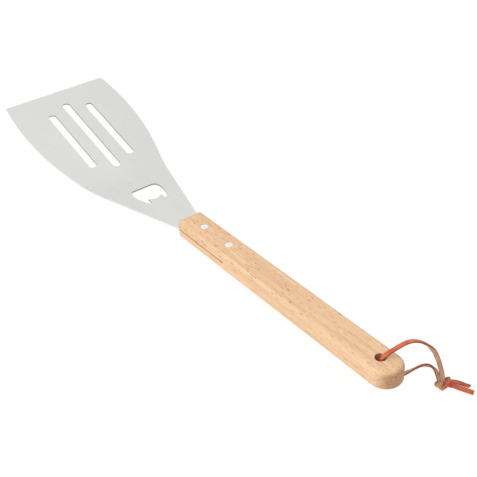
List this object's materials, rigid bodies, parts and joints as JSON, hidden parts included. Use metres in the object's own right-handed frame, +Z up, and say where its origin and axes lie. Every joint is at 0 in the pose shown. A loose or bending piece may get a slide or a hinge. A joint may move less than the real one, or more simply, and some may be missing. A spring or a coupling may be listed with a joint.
{
  "type": "grill spatula",
  "caption": "Long-handled barbecue turner: bent slotted steel blade with a bottle-opener cut-out, riveted wooden handle and a leather hanging loop.",
  "frame": {"origin": "middle of the tool's footprint, on the ground it rests on, with the free lace left out", "axes": "+X along the tool towards the tip of the blade, +Z up with the concave side of the bend on top, +Y to the left when looking towards the tip"},
  "size_m": [0.4718, 0.1034, 0.0453],
  "materials": {
    "steel": "satin, fine brushed",
    "beech": "oiled, fine grain along the handle",
    "rivet": "polished flush",
    "leather": "dyed on the outer face, raw tan on the inner face"
  },
  "bodies": {
    "spatula": {"blade": "steel", "handle": "beech", "front_rivet_female": "rivet", "front_rivet_male": "rivet", "rear_rivet_female": "rivet", "rear_rivet_male": "rivet"},
    "loop": {"lace_upper_strand": "leather", "lace_lower_strand": "leather", "lace_knot": "leather", "lace_tail_upper": "leather", "lace_tail_lower": "leather"}
  },
  "joints": [
    {"name": "loop_swing", "type": "hinge", "parent": "spatula", "child": "loop", "pos_m": [-0.208, 0, 0.0247], "axis": [0.0808, 0, 0.9967], "range_deg": [-115, 0]}
  ]
}
